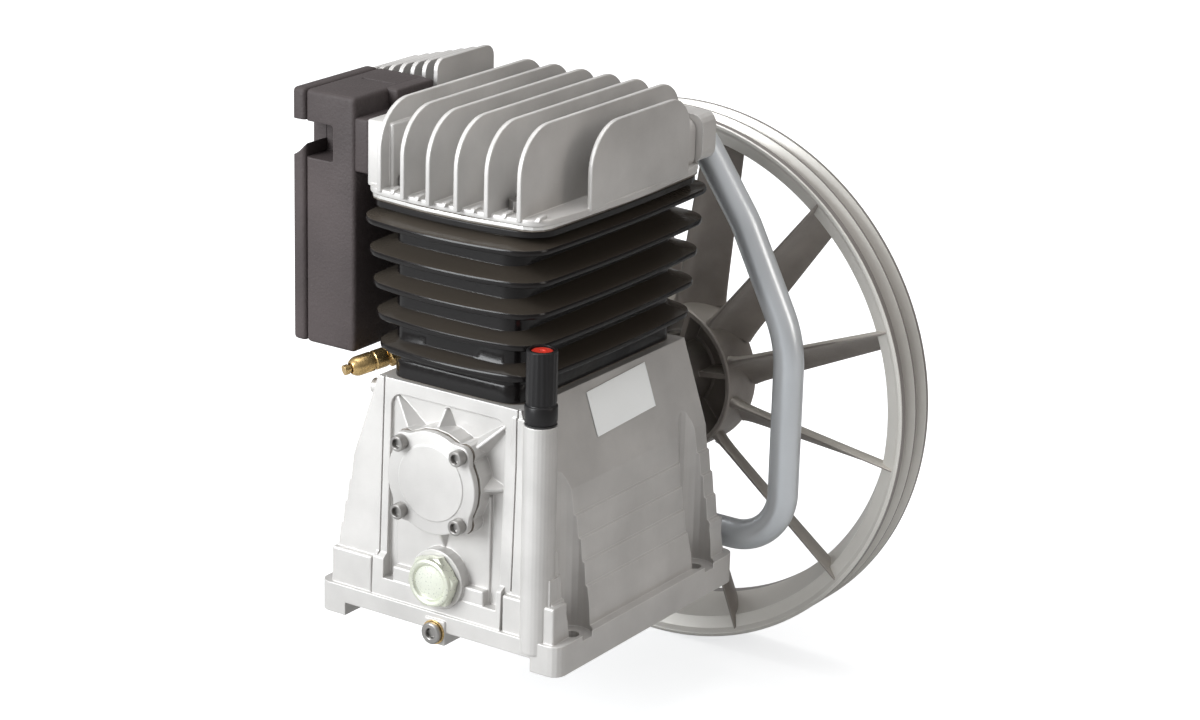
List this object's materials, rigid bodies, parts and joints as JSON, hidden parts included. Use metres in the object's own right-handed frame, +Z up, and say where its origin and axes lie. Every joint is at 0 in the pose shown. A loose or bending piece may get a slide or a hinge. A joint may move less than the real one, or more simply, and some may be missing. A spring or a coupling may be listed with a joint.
{
  "type": "belt-driven compressor pump",
  "caption": "Two-cylinder, two-stage piston air compressor pump with a spoked fan flywheel, finned head, box air filter and looped intercooler tube.",
  "frame": {"origin": "middle of the plane under the two base rails, in line with the crank axis", "axes": "+Z up along the cylinders, +Y along the crank axis from the front cover to the flywheel, +X to the side of the oil filler"},
  "size_m": [0.38, 0.3165, 0.4325],
  "materials": {
    "cast_aluminium": "as cast and lightly blasted, machined on joint faces",
    "black_iron": "gloss black paint over cast iron",
    "wheel_iron": "grey cast iron with a machined belt rim",
    "bright_steel": "satin bright steel",
    "dark_steel": "oiled dark steel",
    "black_plastic": "finely grained black plastic",
    "brass": "turned brass",
    "gasket": "pressed gasket sheet",
    "rubber": "black rubber",
    "red_plastic": "red moulded plastic",
    "clear_plastic": "clear moulded lens",
    "label": "blank white sticker",
    "filter_paper": "pleated filter paper"
  },
  "bodies": {
    "pump_base": {"crankcase": "cast_aluminium", "front_bearing_cover": "cast_aluminium", "side_plug": "cast_aluminium", "cylinder_head": "cast_aluminium", "delivery_manifold": "cast_aluminium", "tube_flange_right": "cast_aluminium", "tube_flange_left": "cast_aluminium", "rear_bearing_housing": "cast_aluminium", "cylinder_block": "black_iron", "sight_glass_ring": "bright_steel", "valve_plate": "bright_steel", "intercooler_tube": "bright_steel", "front_bearing": "bright_steel", "rear_bearing": "bright_steel", "cover_screw_1": "dark_steel", "cover_screw_2": "dark_steel", "cover_screw_3": "dark_steel", "cover_screw_4": "dark_steel", "drain_plug": "dark_steel", "head_bolt_1": "dark_steel", "head_bolt_2": "dark_steel", "head_bolt_3": "dark_steel", "head_bolt_4": "dark_steel", "head_bolt_5": "dark_steel", "head_bolt_6": "dark_steel", "housing_screw_1": "dark_steel", "housing_screw_2": "dark_steel", "housing_screw_3": "dark_steel", "housing_screw_4": "dark_steel", "air_filter_base": "black_plastic", "drain_washer": "brass", "safety_valve": "brass", "front_cover_gasket": "gasket", "base_gasket": "gasket", "valve_plate_gasket": "gasket", "head_gasket": "gasket", "filler_seal": "rubber", "oil_seal": "rubber", "sight_glass_reflector": "red_plastic", "sight_glass_lens": "clear_plastic", "data_label": "label", "filter_element": "filter_paper"},
    "filler_cap": {"filler_cap": "black_plastic", "filler_cap_insert": "red_plastic"},
    "filter_cover": {"air_filter_cover": "black_plastic"},
    "relief_stem": {"safety_valve_stem": "brass"},
    "crank": {"crankshaft": "dark_steel", "flywheel_key": "bright_steel", "flywheel": "wheel_iron", "flywheel_washer": "bright_steel", "flywheel_bolt": "dark_steel"},
    "large_rod": {"large_connecting_rod": "cast_aluminium"},
    "small_rod": {"small_connecting_rod": "cast_aluminium"},
    "large_piston": {"large_piston": "cast_aluminium", "large_gudgeon_pin": "bright_steel", "large_piston_ring": "dark_steel"},
    "small_piston": {"small_piston": "cast_aluminium", "small_gudgeon_pin": "bright_steel", "small_piston_ring": "dark_steel"}
  },
  "joints": [
    {"name": "crank_spin", "type": "hinge", "parent": "pump_base", "child": "crank", "pos_m": [0, 0, 0.1115], "axis": [0, 1, 0], "continuous": true},
    {"name": "large_crank_pin", "type": "hinge", "parent": "crank", "child": "large_rod", "pos_m": [0, -0.044, 0.1315], "axis": [0, 1, 0], "continuous": true},
    {"name": "small_crank_pin", "type": "hinge", "parent": "crank", "child": "small_rod", "pos_m": [0, 0.05, 0.0915], "axis": [0, 1, 0], "continuous": true},
    {"name": "large_stroke", "type": "slide", "parent": "pump_base", "child": "large_piston", "axis": [0, 0, 1], "range_m": [-0.04, 0]},
    {"name": "small_stroke", "type": "slide", "parent": "pump_base", "child": "small_piston", "axis": [0, 0, 1], "range_m": [0, 0.04]},
    {"name": "filler_cap_lift", "type": "slide", "parent": "pump_base", "child": "filler_cap", "axis": [0, 0, 1], "range_m": [0, 0.03]},
    {"name": "filter_cover_pull", "type": "slide", "parent": "pump_base", "child": "filter_cover", "axis": [-1, 0, 0], "range_m": [0, 0.06]},
    {"name": "relief_stem_lift", "type": "slide", "parent": "pump_base", "child": "relief_stem", "axis": [-0.4205, -0.8912, -0.1702], "range_m": [0, 0.004], "stiffness_N_per_m": 900}
  ],
  "couplings": [
    {"joint": "large_crank_pin", "follows": "crank_spin", "ratio": -1},
    {"joint": "small_crank_pin", "follows": "crank_spin", "ratio": -1},
    {"joint": "small_stroke", "follows": "large_stroke", "ratio": -1}
  ]
}
